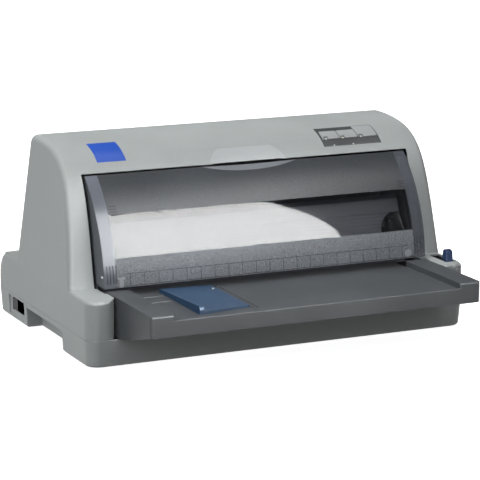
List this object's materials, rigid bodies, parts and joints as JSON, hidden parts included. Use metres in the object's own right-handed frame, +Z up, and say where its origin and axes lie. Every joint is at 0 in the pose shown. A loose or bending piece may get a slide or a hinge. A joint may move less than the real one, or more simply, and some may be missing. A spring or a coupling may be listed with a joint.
{
  "type": "dot matrix printer",
  "caption": "Flat-bed dot matrix printer with a light grey hood, a hinged smoke cover, a dark front tray with a sliding blue edge guide, a shuttle carriage and a rear push tractor.",
  "frame": {"origin": "on the surface the printer stands on, under the middle of its bounding box", "axes": "+X to the right as seen from the front, +Y to the rear, +Z up"},
  "size_m": [0.468, 0.3886, 0.227],
  "materials": {
    "case_plastic": "fine grained light grey moulding",
    "tray_plastic": "fine grained dark grey moulding",
    "smoke_plastic": "smoke tinted clear plastic, partly textured",
    "dark_plastic": "satin dark moulding",
    "key_plastic": "satin light grey keys",
    "blue_plastic": "satin blue moulding",
    "badge_blue": "plain royal blue foil",
    "lens": "clear lenses",
    "rubber": "matt black rubber",
    "sheet_steel": "zinc plated sheet",
    "bright_steel": "ground bright bar",
    "gear_plastic": "natural acetal",
    "brass": "turned brass",
    "motor_steel": "dark motor cans",
    "head_metal": "anodised die casting",
    "board_green": "circuit board"
  },
  "bodies": {
    "root": {"lower_case": "case_plastic", "upper_case": "case_plastic", "front_tray": "tray_plastic", "rubber_feet": "rubber", "badge_plate": "badge_blue", "control_panel": "dark_plastic", "indicator_lenses": "lens", "switch_bezel": "dark_plastic", "base_frame": "sheet_steel", "side_frame_left": "sheet_steel", "side_frame_right": "sheet_steel", "rear_beam": "sheet_steel", "guide_rail": "sheet_steel", "platen": "dark_plastic", "lower_guide": "dark_plastic", "guide_plate": "dark_plastic", "carriage_shaft": "bright_steel", "carriage_motor": "motor_steel", "feed_motor": "motor_steel", "timing_belt": "rubber", "main_board": "board_green", "power_supply": "sheet_steel", "ac_inlet": "dark_plastic", "parallel_connector": "dark_plastic", "usb_connector": "sheet_steel", "shaft_bushes": "gear_plastic", "case_screws": "bright_steel", "tractor_rail": "bright_steel"},
    "front_cover": {"front_cover": "smoke_plastic"},
    "rear_cover": {"rear_cover": "case_plastic"},
    "edge_guide": {"edge_guide": "blue_plastic"},
    "release_lever": {"release_lever": "blue_plastic"},
    "thickness_lever": {"thickness_lever": "dark_plastic"},
    "button_left": {"button_left": "key_plastic"},
    "button_middle": {"button_middle": "key_plastic"},
    "button_right": {"button_right": "key_plastic"},
    "power_rocker": {"power_rocker": "dark_plastic"},
    "carriage": {"carriage": "dark_plastic", "print_head": "head_metal", "ribbon_cartridge": "dark_plastic"},
    "motor_pulley": {"motor_pulley": "bright_steel"},
    "idler_pulley": {"idler_pulley": "bright_steel"},
    "front_feed": {"front_feed_shaft": "bright_steel", "front_feed_rollers": "rubber"},
    "rear_feed": {"rear_feed_shaft": "bright_steel", "rear_feed_rollers": "rubber"},
    "feed_idler": {"feed_idler_gear": "gear_plastic"},
    "tractor_idler": {"tractor_idler_gear": "gear_plastic"},
    "feed_pinion": {"feed_pinion": "brass"},
    "front_pinch": {"front_pinch_rollers": "rubber"},
    "rear_pinch": {"rear_pinch_rollers": "rubber"},
    "tractor_drive": {"tractor_drive_shaft": "bright_steel"},
    "tractor_left": {"tractor_left": "dark_plastic"},
    "tractor_right": {"tractor_right": "dark_plastic"},
    "sprocket_left": {"tractor_sprocket_left": "gear_plastic"},
    "sprocket_right": {"tractor_sprocket_right": "gear_plastic"},
    "door_left": {"tractor_door_left": "key_plastic"},
    "door_right": {"tractor_door_right": "key_plastic"},
    "lock_left": {"tractor_lock_left": "blue_plastic"},
    "lock_right": {"tractor_lock_right": "blue_plastic"}
  },
  "joints": [
    {"name": "cover_hinge", "type": "hinge", "parent": "root", "child": "front_cover", "pos_m": [0, -0.0587, 0.09], "axis": [1, 0, 0], "range_deg": [0, 85]},
    {"name": "rear_cover_hinge", "type": "hinge", "parent": "root", "child": "rear_cover", "pos_m": [0, 0.1363, 0.07833], "axis": [1, 0, 0], "range_deg": [0, 70]},
    {"name": "edge_guide_slide", "type": "slide", "parent": "root", "child": "edge_guide", "axis": [1, 0, 0], "range_m": [-0.027, 0]},
    {"name": "release_lever_swing", "type": "hinge", "parent": "root", "child": "release_lever", "pos_m": [0.221, -0.0717, 0.04], "axis": [1, 0, 0], "range_deg": [-26, 0]},
    {"name": "thickness_lever_swing", "type": "hinge", "parent": "root", "child": "thickness_lever", "pos_m": [0.184, 0.0143, 0.092], "axis": [1, 0, 0], "range_deg": [-12, 0]},
    {"name": "button_left_press", "type": "slide", "parent": "root", "child": "button_left", "axis": [0, 0.4584, -0.8887], "range_m": [0, 0.0008], "stiffness_N_per_m": 300, "springref_m": -0.001},
    {"name": "button_middle_press", "type": "slide", "parent": "root", "child": "button_middle", "axis": [0, 0.4584, -0.8887], "range_m": [0, 0.0008], "stiffness_N_per_m": 300, "springref_m": -0.001},
    {"name": "button_right_press", "type": "slide", "parent": "root", "child": "button_right", "axis": [0, 0.4055, -0.9141], "range_m": [0, 0.0008], "stiffness_N_per_m": 300, "springref_m": -0.001},
    {"name": "power_rocker_tilt", "type": "hinge", "parent": "root", "child": "power_rocker", "pos_m": [-0.227, 0.1248, 0.02], "axis": [0, 0, 1], "range_deg": [-12, 0]},
    {"name": "carriage_slide", "type": "slide", "parent": "root", "child": "carriage", "axis": [1, 0, 0], "range_m": [0, 0.26]},
    {"name": "motor_pulley_spin", "type": "hinge", "parent": "root", "child": "motor_pulley", "pos_m": [-0.168, 0.0933, 0.113], "axis": [0, 0, 1], "range_deg": [-10, 2067]},
    {"name": "idler_pulley_spin", "type": "hinge", "parent": "root", "child": "idler_pulley", "pos_m": [0.168, 0.0933, 0.113], "axis": [0, 0, 1], "range_deg": [-10, 2067]},
    {"name": "front_feed_spin", "type": "hinge", "parent": "root", "child": "front_feed", "pos_m": [0, 0.0183, 0.063], "axis": [1, 0, 0], "continuous": true},
    {"name": "rear_feed_spin", "type": "hinge", "parent": "root", "child": "rear_feed", "pos_m": [0, 0.0663, 0.063], "axis": [1, 0, 0], "continuous": true},
    {"name": "feed_idler_spin", "type": "hinge", "parent": "root", "child": "feed_idler", "pos_m": [0.198, 0.0423, 0.063], "axis": [1, 0, 0], "continuous": true},
    {"name": "tractor_idler_spin", "type": "hinge", "parent": "root", "child": "tractor_idler", "pos_m": [0.198, 0.1018, 0.057], "axis": [1, 0, 0], "continuous": true},
    {"name": "feed_pinion_spin", "type": "hinge", "parent": "root", "child": "feed_pinion", "pos_m": [0.198, 0.0423, 0.045], "axis": [1, 0, 0], "continuous": true},
    {"name": "front_pinch_spin", "type": "hinge", "parent": "root", "child": "front_pinch", "pos_m": [0, 0.0183, 0.076], "axis": [1, 0, 0], "continuous": true},
    {"name": "rear_pinch_spin", "type": "hinge", "parent": "root", "child": "rear_pinch", "pos_m": [0, 0.0663, 0.076], "axis": [1, 0, 0], "continuous": true},
    {"name": "tractor_drive_spin", "type": "hinge", "parent": "root", "child": "tractor_drive", "pos_m": [0, 0.13729, 0.05099], "axis": [1, 0, 0], "continuous": true},
    {"name": "tractor_left_slide", "type": "slide", "parent": "root", "child": "tractor_left", "axis": [1, 0, 0], "range_m": [-0.04, 0.07]},
    {"name": "tractor_right_slide", "type": "slide", "parent": "root", "child": "tractor_right", "axis": [1, 0, 0], "range_m": [-0.07, 0.04]},
    {"name": "sprocket_left_spin", "type": "hinge", "parent": "tractor_left", "child": "sprocket_left", "pos_m": [-0.122, 0.13729, 0.05099], "axis": [1, 0, 0], "continuous": true},
    {"name": "door_left_flip", "type": "hinge", "parent": "tractor_left", "child": "door_left", "pos_m": [-0.131, 0.1413, 0.06029], "axis": [0, -1, 0], "range_deg": [0, 88]},
    {"name": "lock_left_swing", "type": "hinge", "parent": "tractor_left", "child": "lock_left", "pos_m": [-0.1349, 0.15029, 0.04699], "axis": [1, 0, 0], "range_deg": [0, 35]},
    {"name": "sprocket_right_spin", "type": "hinge", "parent": "tractor_right", "child": "sprocket_right", "pos_m": [0.122, 0.13729, 0.05099], "axis": [1, 0, 0], "continuous": true},
    {"name": "door_right_flip", "type": "hinge", "parent": "tractor_right", "child": "door_right", "pos_m": [0.131, 0.1413, 0.06029], "axis": [0, 1, 0], "range_deg": [0, 88]},
    {"name": "lock_right_swing", "type": "hinge", "parent": "tractor_right", "child": "lock_right", "pos_m": [0.1349, 0.15029, 0.04699], "axis": [1, 0, 0], "range_deg": [0, 35]}
  ],
  "couplings": [
    {"joint": "motor_pulley_spin", "follows": "carriage_slide", "rad_per_m": 136.99},
    {"joint": "idler_pulley_spin", "follows": "carriage_slide", "rad_per_m": 136.99},
    {"joint": "rear_feed_spin", "follows": "front_feed_spin", "ratio": 1},
    {"joint": "feed_idler_spin", "follows": "front_feed_spin", "ratio": -1},
    {"joint": "tractor_idler_spin", "follows": "front_feed_spin", "ratio": -0.5},
    {"joint": "feed_pinion_spin", "follows": "front_feed_spin", "ratio": 2},
    {"joint": "front_pinch_spin", "follows": "front_feed_spin", "ratio": -1.3091},
    {"joint": "rear_pinch_spin", "follows": "front_feed_spin", "ratio": -1.3091},
    {"joint": "tractor_drive_spin", "follows": "front_feed_spin", "ratio": 1},
    {"joint": "sprocket_left_spin", "follows": "front_feed_spin", "ratio": 1},
    {"joint": "sprocket_right_spin", "follows": "front_feed_spin", "ratio": 1}
  ]
}
